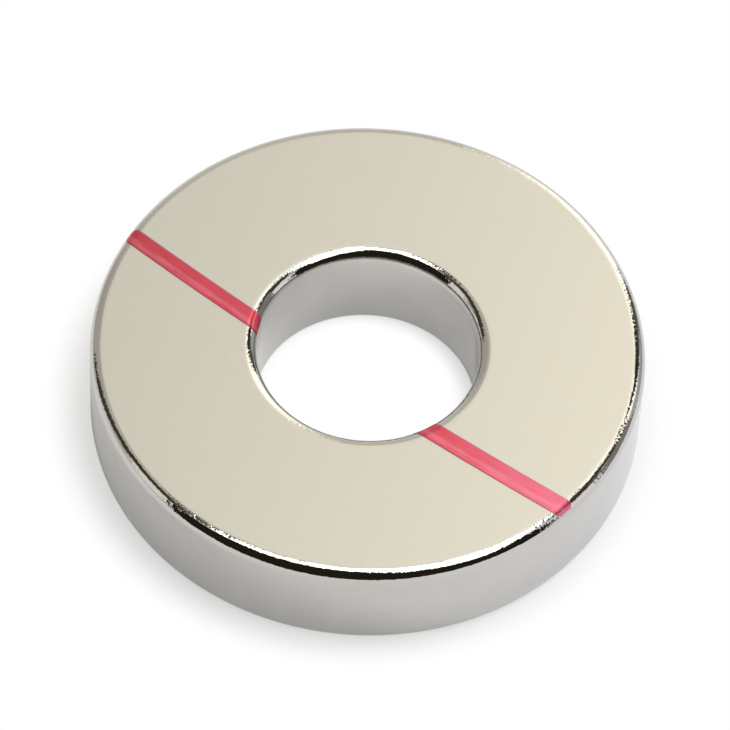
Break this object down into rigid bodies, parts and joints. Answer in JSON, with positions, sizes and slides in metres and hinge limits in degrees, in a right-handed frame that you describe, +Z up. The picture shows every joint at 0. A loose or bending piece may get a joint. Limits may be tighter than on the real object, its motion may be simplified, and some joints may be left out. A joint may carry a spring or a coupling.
{
  "type": "neodymium ring magnet",
  "caption": "Flat nickel-plated ring magnet with rolled edges, a straight bore and a red paint stroke across its top face that marks how it is magnetised.",
  "frame": {"origin": "centre of the bottom face, on the bore's axis", "axes": "+Z up the bore's axis, +X along the red stroke"},
  "size_m": [0.05, 0.05, 0.01],
  "materials": {
    "nickel_plate": "bright nickel plate, slightly satin on the ground faces",
    "red_paint": "dried paint pen"
  },
  "bodies": {
    "root": {"magnet_ring": "nickel_plate", "pole_mark": "red_paint"}
  },
  "joints": []
}
